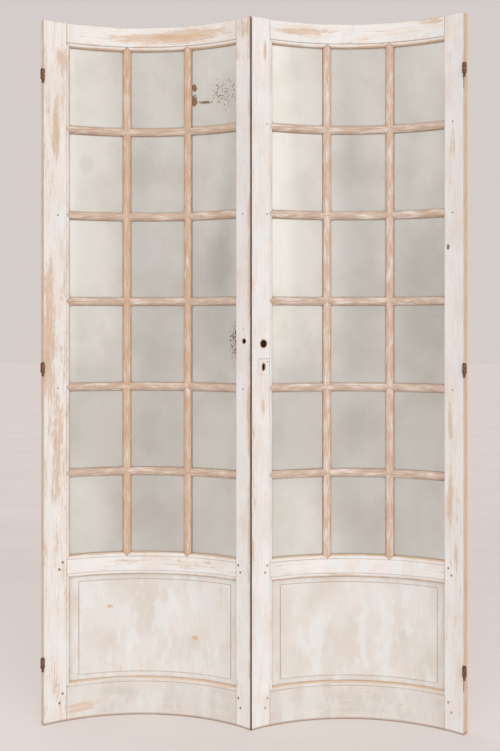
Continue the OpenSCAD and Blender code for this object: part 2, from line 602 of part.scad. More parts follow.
module right_mirrors_2() color(mirror_grey) leaf("right") pane_row("right", 1);
module right_mirrors_3() color(mirror_grey) leaf("right") pane_row("right", 2);
module right_mirrors_4() color(mirror_grey) leaf("right") pane_row("right", 3);
module right_mirrors_5() color(mirror_grey) leaf("right") pane_row("right", 4);
module right_mirrors_6() color(mirror_grey) leaf("right") pane_row("right", 5);
module right_putty() color(putty_grey) leaf("right") putty("right");
module right_pegs() color(bare) leaf("right") pegs("right", 0);
module right_hinge_bottom() color(iron) leaf("right") hinge(hinge_bottom_z);
module right_hinge_middle() color(iron) leaf("right") hinge(hinge_mid_z);
module right_hinge_top() color(iron) leaf("right") hinge(hinge_top_z);
module right_hinge_pins() color(iron) leaf("right") for (z = hinge_zs) hinge_pin(z);
module right_keyhole_patch() color(paint) leaf("right") keyhole_patch();
module right_lock_case() color(iron) leaf("right") lock_case();
module right_lock_cap() color(iron) leaf("right") lock_cap();
module right_lock_screws() color(iron) leaf("right") for (z = [case_z0 - 8, case_z1 + 8]) forend_screw(z, 0);
module right_follower() color(iron) leaf("right") lock_follower();
module right_latch() color(iron) leaf("right") lock_latch();
module right_dead_bolt() color(iron) leaf("right") dead_bolt();

left_hinge_stile();
left_meeting_stile();
left_top_rail();
left_lock_rail();
left_bottom_rail();
left_panel();
left_upright_bar_1();
left_upright_bar_2();
left_cross_bar_1();
left_cross_bar_2();
left_cross_bar_3();
left_cross_bar_4();
left_cross_bar_5();
left_mirrors_1();
left_mirrors_2();
left_mirrors_3();
left_mirrors_4();
left_mirrors_5();
left_mirrors_6();
left_putty();
left_pegs();
left_hinge_bottom();
left_hinge_middle();
left_hinge_top();
left_hinge_pins();
right_hinge_stile();
right_meeting_stile();
right_top_rail();
right_lock_rail();
right_bottom_rail();
right_panel();
right_upright_bar_1();
right_upright_bar_2();
right_cross_bar_1();
right_cross_bar_2();
right_cross_bar_3();
right_cross_bar_4();
right_cross_bar_5();
right_mirrors_1();
right_mirrors_2();
right_mirrors_3();
right_mirrors_4();
right_mirrors_5();
right_mirrors_6();
right_putty();
right_pegs();
right_hinge_bottom();
right_hinge_middle();
right_hinge_top();
right_hinge_pins();
right_keyhole_patch();
right_lock_case();
right_lock_cap();
right_lock_screws();
right_follower();
right_latch();
right_dead_bolt();
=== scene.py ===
# Pair of bowed french doors: old pine under worn white paint, glazed with antique mirror.
import math
import bpy
import bmesh
from mathutils import Matrix, Vector


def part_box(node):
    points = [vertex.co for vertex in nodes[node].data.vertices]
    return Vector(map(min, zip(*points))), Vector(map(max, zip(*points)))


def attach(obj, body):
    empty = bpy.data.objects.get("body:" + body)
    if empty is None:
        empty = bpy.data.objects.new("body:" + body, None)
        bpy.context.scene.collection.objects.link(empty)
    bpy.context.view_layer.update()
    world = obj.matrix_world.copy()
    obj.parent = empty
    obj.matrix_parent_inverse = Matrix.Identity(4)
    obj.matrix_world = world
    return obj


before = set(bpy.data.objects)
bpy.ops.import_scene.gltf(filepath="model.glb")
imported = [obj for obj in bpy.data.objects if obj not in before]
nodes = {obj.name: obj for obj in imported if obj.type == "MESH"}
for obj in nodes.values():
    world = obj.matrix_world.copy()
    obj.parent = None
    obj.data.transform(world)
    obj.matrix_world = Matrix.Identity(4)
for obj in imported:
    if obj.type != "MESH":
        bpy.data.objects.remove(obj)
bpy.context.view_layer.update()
print("frame loaded:", len(nodes), "nodes")

# The bow of a leaf. Its axis stands upright in front of the leaf, midway across.
bow = {
    "radius": 0.526,  # of the front face
    "width": 0.720,  # straight across a leaf's front corners
    "thickness": 0.036,
}
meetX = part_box("right_meeting_stile")[0][0]
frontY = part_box("right_meeting_stile")[0][1]
axisX = meetX + bow["width"] / 2
axisY = frontY - math.sqrt(bow["radius"] ** 2 - (bow["width"] / 2) ** 2)
halfAngle = math.asin(bow["width"] / 2 / bow["radius"])
leafAxis = {"left": -axisX, "right": axisX}


def fromHex(colour):
    parts = [int(colour[i:i + 2], 16) / 255 for i in (1, 3, 5)]
    light = [p / 12.92 if p <= 0.04045 else ((p + 0.055) / 1.055) ** 2.4 for p in parts]
    return (light[0], light[1], light[2], 1.0)


def addNode(tree, kind, settings=None, links=None):
    node = tree.nodes.new(kind)
    for name, value in (settings or {}).items():
        if isinstance(name, int) or name in node.inputs:
            node.inputs[name].default_value = value
        else:
            setattr(node, name, value)
    for name, source in (links or {}).items():
        tree.links.new(source, node.inputs[name])
    return node


def newMaterial(name):
    material = bpy.data.materials.new(name)
    material.use_nodes = True
    material.node_tree.nodes.clear()
    return material


def finishMaterial(material, values, links):
    tree = material.node_tree
    shader = addNode(tree, "ShaderNodeBsdfPrincipled", values, links)
    addNode(tree, "ShaderNodeOutputMaterial", None, {"Surface": shader.outputs[0]})
    return material


def bowSpace(tree, side):
    # Unrolls the bow: along the face, depth behind the face and height, all in metres.
    here = addNode(tree, "ShaderNodeTexCoord")
    fromAxis = addNode(tree, "ShaderNodeVectorMath",
                       {"operation": "SUBTRACT", 1: (leafAxis[side], axisY, 0)},
                       {0: here.outputs["Object"]})
    flat = addNode(tree, "ShaderNodeVectorMath", {"operation": "MULTIPLY", 1: (1, 1, 0)},
                   {0: fromAxis.outputs[0]})
    parts = addNode(tree, "ShaderNodeSeparateXYZ", None, {0: fromAxis.outputs[0]})
    turn = addNode(tree, "ShaderNodeMath", {"operation": "ARCTAN2"},
                   {0: parts.outputs[0], 1: parts.outputs[1]})
    along = addNode(tree, "ShaderNodeMath", {"operation": "MULTIPLY", 1: bow["radius"]},
                    {0: turn.outputs[0]})
    reach = addNode(tree, "ShaderNodeVectorMath", {"operation": "LENGTH"}, {0: flat.outputs[0]})
    depth = addNode(tree, "ShaderNodeMath", {"operation": "SUBTRACT", 1: bow["radius"]},
                    {0: reach.outputs["Value"]})
    space = addNode(tree, "ShaderNodeCombineXYZ", None,
                    {0: along.outputs[0], 1: depth.outputs[0], 2: parts.outputs[2]})
    outward = addNode(tree, "ShaderNodeVectorMath", {"operation": "NORMALIZE"}, {0: flat.outputs[0]})
    facing = addNode(tree, "ShaderNodeVectorMath", {"operation": "DOT_PRODUCT"},
                     {0: outward.outputs[0], 1: here.outputs["Normal"]})
    return {"place": space.outputs[0], "along": along.outputs[0], "depth": depth.outputs[0],
            "up": parts.outputs[2], "facing": facing.outputs["Value"]}


def grainNoise(tree, place, size, seed, detail=4.0, roughness=0.6, distortion=0.0):
    # size is what one blot of the noise measures along the face, into the wood and upwards, in mm.
    scaled = addNode(tree, "ShaderNodeMapping",
                     {"Scale": tuple(1000 / s for s in size),
                      "Location": (seed * 3.1, seed * 7.7, seed * 1.9)},
                     {"Vector": place})
    noise = addNode(tree, "ShaderNodeTexNoise",
                    {"Scale": 1.0, "Detail": detail, "Roughness": roughness, "Distortion": distortion},
                    {"Vector": scaled.outputs[0]})
    return noise.outputs["Fac"]


def wearSpot(tree, place, total, spot):
    # A soft oval, added to total if there is one: along, up, half width, half height (mm), strength.
    across, up, halfWidth, halfHeight, strength = spot
    scaled = addNode(tree, "ShaderNodeMapping",
                     {"Scale": (1000 / halfWidth, 0, 1000 / halfHeight),
                      "Location": (-across / halfWidth, 0, -up / halfHeight)}, {"Vector": place})
    away = addNode(tree, "ShaderNodeVectorMath", {"operation": "LENGTH"}, {0: scaled.outputs[0]})
    soft = addNode(tree, "ShaderNodeMapRange",
                   {"interpolation_type": "SMOOTHSTEP", "From Min": 1.25, "From Max": 0.3,
                    "To Max": strength},
                   {"Value": away.outputs["Value"]})
    if total is None:
        return soft.outputs[0]
    added = addNode(tree, "ShaderNodeMath", {"operation": "ADD"}, {0: total, 1: soft.outputs[0]})
    return added.outputs[0]


# Pine, brush painted with white oil paint and then sanded and knocked for a century.
# That gives the eye chalky off-white with vertical brush streaks, peach bare wood at
# the arrises and in long patches, and thin ochre lines where the paint stops.
def wornPaintOnPine(name, look):
    material = newMaterial(name)
    tree = material.node_tree
    bowed = bowSpace(tree, look["side"])
    place = bowed["place"]
    if look["grain"] == "up":
        sizes = {"patch": (42, 60, 190), "brush": (6, 9, 120), "chip": (9, 12, 22),
                 "fibre": (1.6, 4, 60), "hairs": (4.0, 6, 130)}
    else:
        sizes = {"patch": (190, 60, 36), "brush": (120, 9, 6), "chip": (22, 12, 9),
                 "fibre": (60, 4, 1.6), "hairs": (130, 6, 4.0)}
    seed = look["seed"]
    patch = grainNoise(tree, place, sizes["patch"], seed, 5.0, 0.62, 0.5)
    brush = grainNoise(tree, place, sizes["brush"], seed + 1.3, 4.0, 0.6)
    chip = grainNoise(tree, place, sizes["chip"], seed + 2.1, 3.0, 0.65)
    fibre = grainNoise(tree, place, sizes["fibre"], seed + 3.7, 3.0, 0.55)
    hairs = grainNoise(tree, place, sizes["hairs"], seed + 6.3, 4.0, 0.65)
    clouds = grainNoise(tree, place, (120, 120, 170), seed + 5.9, 3.0, 0.55)

    # Arrises: the rounded normal turns away from the true one within a few mm of an edge.
    rounded = addNode(tree, "ShaderNodeBevel", {"samples": 6, "Radius": look["arris"] / 1000})
    shape = addNode(tree, "ShaderNodeNewGeometry")
    agree = addNode(tree, "ShaderNodeVectorMath", {"operation": "DOT_PRODUCT"},
                    {0: rounded.outputs[0], 1: shape.outputs["Normal"]})
    arris = addNode(tree, "ShaderNodeMapRange",
                    {"From Min": 0.995, "From Max": 0.80, "To Max": look["arrisWear"]},
                    {"Value": agree.outputs["Value"]})

    # Faces that look sideways are the leaf's cut edges and the flanks of its mouldings.
    square = addNode(tree, "ShaderNodeMath", {"operation": "ABSOLUTE"}, {0: bowed["facing"]})
    sideways = addNode(tree, "ShaderNodeMapRange",
                       {"From Min": 0.96, "From Max": 0.35, "To Max": look["sideWear"]},
                       {"Value": square.outputs[0]})

    blend = addNode(tree, "ShaderNodeMath", {"operation": "MULTIPLY_ADD", 1: 0.48, 2: look["wear"]},
                    {0: patch})
    blend = addNode(tree, "ShaderNodeMath", {"operation": "MULTIPLY_ADD", 1: 0.46},
                    {0: brush, 2: blend.outputs[0]})
    blend = addNode(tree, "ShaderNodeMath", {"operation": "MULTIPLY_ADD", 1: 0.26},
                    {0: chip, 2: blend.outputs[0]})
    # The mouldings stand a few mm behind the face, and are rubbed and grimy.
    lip = addNode(tree, "ShaderNodeMath", {"operation": "SUBTRACT", 1: 0.0085}, {0: bowed["depth"]})
    lip = addNode(tree, "ShaderNodeMath", {"operation": "ABSOLUTE"}, {0: lip.outputs[0]})
    lip = addNode(tree, "ShaderNodeMapRange",
                  {"From Min": 0.0066, "From Max": 0.0050, "To Max": look["lipWear"]},
                  {"Value": lip.outputs[0]})
    blend = addNode(tree, "ShaderNodeMath", {"operation": "ADD"}, {0: blend.outputs[0], 1: lip.outputs[0]})
    blend = addNode(tree, "ShaderNodeMath", {"operation": "ADD"},
                    {0: blend.outputs[0], 1: arris.outputs[0]})
    blend = addNode(tree, "ShaderNodeMath", {"operation": "ADD"},
                    {0: blend.outputs[0], 1: sideways.outputs[0]})
    bareness = blend.outputs[0]
    for spot in look.get("spots", ()):
        bareness = wearSpot(tree, place, bareness, spot)
    if "bareAbove" in look:
        # The paint ends on a straight line here, where something once covered the stile.
        height, extra = look["bareAbove"]
        above = addNode(tree, "ShaderNodeMapRange",
                        {"From Min": (height - 2) / 1000, "From Max": (height + 2) / 1000, "To Max": extra},
                        {"Value": bowed["up"]})
        bareness = addNode(tree, "ShaderNodeMath", {"operation": "ADD"},
                           {0: bareness, 1: above.outputs[0]}).outputs[0]

    thin = addNode(tree, "ShaderNodeMapRange",
                   {"interpolation_type": "SMOOTHSTEP", "From Min": 0.58, "From Max": 0.80},
                   {"Value": bareness})
    bare = addNode(tree, "ShaderNodeMapRange",
                   {"interpolation_type": "SMOOTHSTEP", "From Min": 0.70, "From Max": 0.90},
                   {"Value": bareness})
    # A thin line where the paint stops.
    rim = addNode(tree, "ShaderNodeValToRGB", None, {0: bareness})
    ramp = rim.color_ramp
    ramp.elements[0].position = 0.70
    ramp.elements[0].color = (0, 0, 0, 1)
    ramp.elements[1].position = 0.82
    ramp.elements[1].color = (0, 0, 0, 1)
    peak = ramp.elements.new(0.76)
    peak.color = (1, 1, 1, 1)

    wood = addNode(tree, "ShaderNodeValToRGB", None, {0: fibre})
    ramp = wood.color_ramp
    ramp.elements[0].position = 0.30
    ramp.elements[0].color = fromHex(look["woodDark"])
    ramp.elements[1].position = 0.62
    ramp.elements[1].color = fromHex(look["woodLight"])
    paint = addNode(tree, "ShaderNodeMix", {"data_type": "RGBA", 6: fromHex(look["paintLight"]),
                                            7: fromHex(look["paintDingy"])})
    dinge = addNode(tree, "ShaderNodeMapRange", {"From Min": 0.40, "From Max": 0.66}, {"Value": clouds})
    tree.links.new(dinge.outputs[0], paint.inputs[0])
    streak = addNode(tree, "ShaderNodeMapRange",
                     {"From Min": 0.50, "From Max": 0.30, "To Max": look["streaks"]},
                     {"Value": hairs})
    paint = addNode(tree, "ShaderNodeMix", {"data_type": "RGBA", 7: fromHex(look["woodLight"])},
                    {0: streak.outputs[0], 6: paint.outputs[2]})
    # A later, bluer coat survives in places.
    coat = grainNoise(tree, place, (50, 50, 130), seed + 4.4, 4.0, 0.6, 0.3)
    coat = addNode(tree, "ShaderNodeMapRange",
                   {"interpolation_type": "SMOOTHSTEP", "From Min": 0.50, "From Max": 0.60,
                    "To Max": look["coat"]},
                   {"Value": coat})
    paint = addNode(tree, "ShaderNodeMix", {"data_type": "RGBA", 7: fromHex(look["laterCoat"])},
                    {0: coat.outputs[0], 6: paint.outputs[2]})
    colour = addNode(tree, "ShaderNodeMix", {"data_type": "RGBA", 7: fromHex(look["thinPaint"])},
                     {0: thin.outputs[0], 6: paint.outputs[2]})
    colour = addNode(tree, "ShaderNodeMix", {"data_type": "RGBA"},
                     {0: bare.outputs[0], 6: colour.outputs[2], 7: wood.outputs[0]})
    rimAmount = addNode(tree, "ShaderNodeMath", {"operation": "MULTIPLY", 1: 0.28}, {0: rim.outputs[0]})
    colour = addNode(tree, "ShaderNodeMix", {"data_type": "RGBA", 7: fromHex(look["paintRim"])},
                     {0: rimAmount.outputs[0], 6: colour.outputs[2]})

    # Dirt: brown specks in the paint; dirt and painted shade make the dark line in the sharp corners.
    speck = grainNoise(tree, place, (5, 5, 7), seed + 8.8, 2.0, 0.7)
    specks = addNode(tree, "ShaderNodeMapRange", {"From Min": 0.70, "From Max": 0.78, "To Max": 0.5},
                     {"Value": speck})
    colour = addNode(tree, "ShaderNodeMix", {"data_type": "RGBA", 7: fromHex(look["specks"])},
                     {0: specks.outputs[0], 6: colour.outputs[2]})
    # The occlusion darkens the colour in creases and corners: dirt and painted shade.
    crease = addNode(tree, "ShaderNodeAmbientOcclusion", {"samples": 6, "Distance": 0.007})
    corner = addNode(tree, "ShaderNodeMapRange", {"From Min": 0.72, "From Max": 0.30, "To Max": 0.75},
                     {"Value": crease.outputs["AO"]})
    colour = addNode(tree, "ShaderNodeMix", {"data_type": "RGBA", 7: fromHex(look["corners"])},
                     {0: corner.outputs[0], 6: colour.outputs[2]})
    # Wet floors have browned the bottom edge.
    foot = addNode(tree, "ShaderNodeMapRange", {"From Min": 0.009, "From Max": 0.002, "To Max": 0.75},
                   {"Value": bowed["up"]})
    colour = addNode(tree, "ShaderNodeMix", {"data_type": "RGBA", 7: fromHex(look["foot"])},
                     {0: foot.outputs[0], 6: colour.outputs[2]})
    # Rust and hand grease round the lock's holes, and knots bleeding through the paint.
    for spot in look.get("stains", ()):
        soaked = wearSpot(tree, place, None, spot)
        ragged = addNode(tree, "ShaderNodeMath", {"operation": "MULTIPLY_ADD", 1: 0.9, 2: -0.45}, {0: chip})
        soaked = addNode(tree, "ShaderNodeMath", {"operation": "ADD", "use_clamp": True},
                         {0: soaked, 1: ragged.outputs[0]})
        held = addNode(tree, "ShaderNodeMapRange",
                       {"interpolation_type": "SMOOTHSTEP", "From Min": 0.30, "From Max": 0.85,
                        "To Max": 0.9},
                       {"Value": soaked.outputs[0]})
        colour = addNode(tree, "ShaderNodeMix", {"data_type": "RGBA", 7: fromHex(look["stain"])},
                         {0: held.outputs[0], 6: colour.outputs[2]})
        # The walls of the holes are darkened almost to black: rust and painted shade.
        inside = addNode(tree, "ShaderNodeMapRange", {"From Min": 0.002, "From Max": 0.005},
                         {"Value": bowed["depth"]})
        inside = addNode(tree, "ShaderNodeMath", {"operation": "MULTIPLY"},
                         {0: inside.outputs[0], 1: held.outputs[0]})
        colour = addNode(tree, "ShaderNodeMix", {"data_type": "RGBA", 7: fromHex(look["holeRustAndShade"])},
                         {0: inside.outputs[0], 6: colour.outputs[2]})
    for joint in look.get("joints", ()):
        # A fine brown crack where rail and stile meet.
        off = addNode(tree, "ShaderNodeMath", {"operation": "SUBTRACT", 1: joint / 1000},
                      {0: bowed["along"]})
        off = addNode(tree, "ShaderNodeMath", {"operation": "ABSOLUTE"}, {0: off.outputs[0]})
        crack = addNode(tree, "ShaderNodeMapRange",
                        {"From Min": 0.0026, "From Max": 0.0008, "To Max": 0.55},
                        {"Value": off.outputs[0]})
        colour = addNode(tree, "ShaderNodeMix", {"data_type": "RGBA", 7: fromHex(look["crack"])},
                         {0: crack.outputs[0], 6: colour.outputs[2]})
    if "darkEdge" in look:
        # Handled and never painted, and darkened as painted shade of the narrow gap: the edge where the two
        # leaves meet.
        near = addNode(tree, "ShaderNodeSeparateXYZ")
        here = addNode(tree, "ShaderNodeTexCoord")
        tree.links.new(here.outputs["Object"], near.inputs[0])
        offset = addNode(tree, "ShaderNodeMath", {"operation": "ABSOLUTE"}, {0: near.outputs[0]})
        soiledAndShaded = addNode(tree, "ShaderNodeMapRange",
                         {"From Min": meetX + look["darkEdge"] / 1000, "From Max": meetX + 0.0004},
                         {"Value": offset.outputs[0]})
        blotchy = addNode(tree, "ShaderNodeMapRange",
                          {"From Min": 0.35, "From Max": 0.62, "To Min": 0.95, "To Max": 0.62},
                          {"Value": brush})
        soiledAndShaded = addNode(tree, "ShaderNodeMath", {"operation": "MULTIPLY"},
                         {0: soiledAndShaded.outputs[0], 1: blotchy.outputs[0]})
        colour = addNode(tree, "ShaderNodeMix", {"data_type": "RGBA", 7: fromHex(look["handledAndShaded"])},
                         {0: soiledAndShaded.outputs[0], 6: colour.outputs[2]})

    gloss = addNode(tree, "ShaderNodeMapRange", {"To Min": 0.58, "To Max": 0.82},
                    {"Value": bare.outputs[0]})
    relief = addNode(tree, "ShaderNodeMath", {"operation": "MULTIPLY_ADD", 1: -0.8},
                     {0: bare.outputs[0], 2: fibre})
    bump = addNode(tree, "ShaderNodeBump", {"Strength": 0.55, "Distance": 0.0006},
                   {"Height": relief.outputs[0], "Normal": rounded.outputs[0]})
    return finishMaterial(material, {"IOR": 1.5},
                          {"Base Color": colour.outputs[2], "Roughness": gloss.outputs[0],
                           "Normal": bump.outputs[0]})


# Pine glazing bars, once painted, since scraped: mostly bare, with white left in the pores and flats.
def scrapedPine(name, look):
    material = newMaterial(name)
    tree = material.node_tree
    bowed = bowSpace(tree, look["side"])
    place = bowed["place"]
    if look["grain"] == "up":
        sizes = {"patch": (24, 20, 85), "brush": (4.5, 6, 46), "fibre": (2.4, 4, 60)}
    else:
        sizes = {"patch": (85, 20, 22), "brush": (46, 6, 4.5), "fibre": (60, 4, 2.4)}
    seed = look["seed"]
    patch = grainNoise(tree, place, sizes["patch"], seed, 4.0, 0.62, 0.4)
    brush = grainNoise(tree, place, sizes["brush"], seed + 1.3, 3.0, 0.6)
    fibre = grainNoise(tree, place, sizes["fibre"], seed + 3.7, 3.0, 0.55)
    left = addNode(tree, "ShaderNodeMath", {"operation": "MULTIPLY_ADD", 1: 0.52, 2: look["paintLeft"]},
                   {0: patch})
    left = addNode(tree, "ShaderNodeMath", {"operation": "MULTIPLY_ADD", 1: 0.54},
                   {0: brush, 2: left.outputs[0]})
    white = addNode(tree, "ShaderNodeMapRange",
                    {"interpolation_type": "SMOOTHSTEP", "From Min": 0.50, "From Max": 0.74},
                    {"Value": left.outputs[0]})
    wood = addNode(tree, "ShaderNodeValToRGB", None, {0: fibre})
    ramp = wood.color_ramp
    ramp.elements[0].position = 0.30
    ramp.elements[0].color = fromHex(look["woodDark"])
    ramp.elements[1].position = 0.64
    ramp.elements[1].color = fromHex(look["woodLight"])
    colour = addNode(tree, "ShaderNodeMix", {"data_type": "RGBA", 7: fromHex(look["paintLight"])},
                     {0: white.outputs[0], 6: wood.outputs[0]})
    # Grime and painted shade lie along both sides of a bar, next to the glass.
    ledgeGrimeAndShade = addNode(tree, "ShaderNodeMapRange", {"From Min": 0.006, "From Max": 0.0125, "To Max": 0.62},
                    {"Value": bowed["depth"]})
    colour = addNode(tree, "ShaderNodeMix", {"data_type": "RGBA", 7: fromHex(look["ledgeGrimeAndShade"])},
                     {0: ledgeGrimeAndShade.outputs[0], 6: colour.outputs[2]})
    # Dirt and painted shade: darker in the corners round a bar, from the occlusion.
    crease = addNode(tree, "ShaderNodeAmbientOcclusion", {"samples": 6, "Distance": 0.010})
    corner = addNode(tree, "ShaderNodeMapRange", {"From Min": 0.70, "From Max": 0.25, "To Max": 0.8},
                     {"Value": crease.outputs["AO"]})
    colour = addNode(tree, "ShaderNodeMix", {"data_type": "RGBA", 7: fromHex(look["corners"])},
                     {0: corner.outputs[0], 6: colour.outputs[2]})
    rounded = addNode(tree, "ShaderNodeBevel", {"samples": 4, "Radius": 0.0015})
    relief = addNode(tree, "ShaderNodeMath", {"operation": "MULTIPLY_ADD", 1: 0.8},
                     {0: white.outputs[0], 2: fibre})
    bump = addNode(tree, "ShaderNodeBump", {"Strength": 0.5, "Distance": 0.0005},
                   {"Height": relief.outputs[0], "Normal": rounded.outputs[0]})
    gloss = addNode(tree, "ShaderNodeMapRange", {"To Min": 0.78, "To Max": 0.6},
                    {"Value": white.outputs[0]})
    return finishMaterial(material, {"IOR": 1.5},
                          {"Base Color": colour.outputs[2], "Roughness": gloss.outputs[0],
                           "Normal": bump.outputs[0]})


# Antique mirror: silvered sheet glass, its silver hazed and foxed by damp, its back painted brown.
# It gives soft grey reflections, pale bloom, and brown and black specks where the silver is gone.
def antiqueMirror(name, look):
    material = newMaterial(name)
    tree = material.node_tree
    bowed = bowSpace(tree, look["side"])
    place = bowed["place"]
    haze = grainNoise(tree, place, (150, 150, 190), 2.4, 3.0, 0.5)
    smear = grainNoise(tree, place, (40, 40, 60), 6.1, 4.0, 0.6, 0.8)
    dust = grainNoise(tree, place, (6.5, 6.5, 6.5), 9.3, 3.0, 0.7)
    blot = grainNoise(tree, place, (11, 11, 9), 4.7, 4.0, 0.7, 0.6)

    foxed = None
    for spot in look["foxed"]:
        foxed = wearSpot(tree, place, foxed, spot)
    stain = None
    for spot in look["stained"]:
        stain = wearSpot(tree, place, stain, spot)

    silver = addNode(tree, "ShaderNodeMix",
                     {"data_type": "RGBA", 6: fromHex(look["silver"]), 7: fromHex(look["dull"])})
    hazy = addNode(tree, "ShaderNodeMapRange", {"From Min": 0.42, "From Max": 0.68}, {"Value": haze})
    tree.links.new(hazy.outputs[0], silver.inputs[0])
    smeared = addNode(tree, "ShaderNodeMapRange", {"From Min": 0.58, "From Max": 0.80, "To Max": 0.12},
                      {"Value": smear})
    colour = addNode(tree, "ShaderNodeMix", {"data_type": "RGBA", 7: fromHex(look["smear"])},
                     {0: smeared.outputs[0], 6: silver.outputs[2]})
    # Duller silver, which also paints the darker reflections in these places.
    for spot in look["dim"]:
        dimmed = wearSpot(tree, place, None, spot)
        colour = addNode(tree, "ShaderNodeMix", {"data_type": "RGBA", 7: fromHex(look["dimSilverAndShade"])},
                         {0: dimmed, 6: colour.outputs[2]})
    bloom = addNode(tree, "ShaderNodeMapRange", {"From Min": 0.05, "From Max": 0.9, "To Max": 0.7},
                    {"Value": foxed})
    colour = addNode(tree, "ShaderNodeMix", {"data_type": "RGBA", 7: fromHex(look["bloom"])},
                     {0: bloom.outputs[0], 6: colour.outputs[2]})
    # Grime and painted shade where the bars and putty crowd the pane's edge.
    crease = addNode(tree, "ShaderNodeAmbientOcclusion", {"samples": 6, "Distance": 0.012})
    borderGrimeAndShade = addNode(tree, "ShaderNodeMapRange", {"From Min": 0.80, "From Max": 0.45, "To Max": 0.7},
                    {"Value": crease.outputs["AO"]})
    colour = addNode(tree, "ShaderNodeMix", {"data_type": "RGBA", 7: fromHex(look["borderGrimeAndShade"])},
                     {0: borderGrimeAndShade.outputs[0], 6: colour.outputs[2]})
    speckle = addNode(tree, "ShaderNodeMath", {"operation": "MULTIPLY_ADD", 1: 0.20}, {0: foxed, 2: dust})
    specks = addNode(tree, "ShaderNodeMapRange",
                     {"interpolation_type": "SMOOTHSTEP", "From Min": 0.745, "From Max": 0.79,
                      "To Max": 0.95},
                     {"Value": speckle.outputs[0]})
    colour = addNode(tree, "ShaderNodeMix", {"data_type": "RGBA", 7: fromHex(look["specks"])},
                     {0: specks.outputs[0], 6: colour.outputs[2]})
    blotted = addNode(tree, "ShaderNodeMath", {"operation": "MULTIPLY_ADD", 1: 0.30}, {0: stain, 2: blot})
    brown = addNode(tree, "ShaderNodeMapRange",
                    {"interpolation_type": "SMOOTHSTEP", "From Min": 0.70, "From Max": 0.76,
                     "To Max": 0.95},
                    {"Value": blotted.outputs[0]})
    colour = addNode(tree, "ShaderNodeMix", {"data_type": "RGBA", 7: fromHex(look["blots"])},
                     {0: brown.outputs[0], 6: colour.outputs[2]})

    # The back of the pane: brown backing paint over the silver, scratched and dusty.
    back = addNode(tree, "ShaderNodeMapRange", {"From Min": 0.3, "From Max": 0.6},
                   {"Value": bowed["facing"]})
    backing = addNode(tree, "ShaderNodeMix",
                      {"data_type": "RGBA", 6: fromHex(look["backing"]), 7: fromHex(look["backingWorn"])},
                      {0: smear})
    colour = addNode(tree, "ShaderNodeMix", {"data_type": "RGBA"},
                     {0: back.outputs[0], 6: colour.outputs[2], 7: backing.outputs[2]})
    spoiled = addNode(tree, "ShaderNodeMath", {"operation": "MAXIMUM"},
                      {0: specks.outputs[0], 1: brown.outputs[0]})
    spoiled = addNode(tree, "ShaderNodeMath", {"operation": "MAXIMUM"},
                      {0: spoiled.outputs[0], 1: back.outputs[0]})
    metal = addNode(tree, "ShaderNodeMapRange", {"To Min": 1.0, "To Max": 0.0},
                    {"Value": spoiled.outputs[0]})
    gloss = addNode(tree, "ShaderNodeMapRange",
                    {"To Min": look["gloss"], "To Max": look["gloss"] + 0.14}, {"Value": smear})
    gloss = addNode(tree, "ShaderNodeMath", {"operation": "MULTIPLY_ADD", 1: 0.45},
                    {0: spoiled.outputs[0], 2: gloss.outputs[0]})
    bump = addNode(tree, "ShaderNodeBump", {"Strength": 0.25, "Distance": 0.0008}, {"Height": haze})
    return finishMaterial(material, {"IOR": 1.5},
                          {"Base Color": colour.outputs[2], "Metallic": metal.outputs[0],
                           "Roughness": gloss.outputs[0], "Normal": bump.outputs[0]})


# Linseed putty, dried hard: chalky, cracked across, with paint and dust on it.
def driedPutty(name, look):
    material = newMaterial(name)
    tree = material.node_tree
    here = addNode(tree, "ShaderNodeTexCoord")
    lumps = grainNoise(tree, here.outputs["Object"], (14, 14, 14), 1.2, 4.0, 0.6)
    cracks = addNode(tree, "ShaderNodeTexVoronoi",
                     {"feature": "DISTANCE_TO_EDGE", "Scale": 1000 / look["crackApart"]},
                     {"Vector": here.outputs["Object"]})
    crack = addNode(tree, "ShaderNodeMapRange", {"From Min": 0.05, "From Max": 0.0, "To Max": 0.7},
                    {"Value": cracks.outputs["Distance"]})
    colour = addNode(tree, "ShaderNodeMix",
                     {"data_type": "RGBA", 6: fromHex(look["dark"]), 7: fromHex(look["light"])},
                     {0: lumps})
    colour = addNode(tree, "ShaderNodeMix", {"data_type": "RGBA", 7: fromHex(look["crack"])},
                     {0: crack.outputs[0], 6: colour.outputs[2]})
    bump = addNode(tree, "ShaderNodeBump", {"Strength": 0.7, "Distance": 0.0008}, {"Height": lumps})
    return finishMaterial(material, {"IOR": 1.48, "Roughness": 0.85},
                          {"Base Color": colour.outputs[2], "Normal": bump.outputs[0]})


# Oak pegs seen on their end grain: darker than the pine round them, with fine rings and thin paint.
def pegEndGrain(name, look):
    material = newMaterial(name)
    tree = material.node_tree
    here = addNode(tree, "ShaderNodeTexCoord")
    rings = grainNoise(tree, here.outputs["Object"], (1.4, 6, 1.4), 3.3, 4.0, 0.65)
    film = grainNoise(tree, here.outputs["Object"], (5, 9, 5), 7.1, 3.0, 0.6)
    wood = addNode(tree, "ShaderNodeMix",
                   {"data_type": "RGBA", 6: fromHex(look["dark"]), 7: fromHex(look["light"])},
                   {0: rings})
    left = addNode(tree, "ShaderNodeMapRange",
                   {"From Min": 0.40, "From Max": 0.60, "To Max": look["paintLeft"]},
                   {"Value": film})
    colour = addNode(tree, "ShaderNodeMix", {"data_type": "RGBA", 7: fromHex(look["paint"])},
                     {0: left.outputs[0], 6: wood.outputs[2]})
    bump = addNode(tree, "ShaderNodeBump", {"Strength": 0.6, "Distance": 0.0004}, {"Height": rings})
    return finishMaterial(material, {"IOR": 1.5, "Roughness": 0.78},
                          {"Base Color": colour.outputs[2], "Normal": bump.outputs[0]})


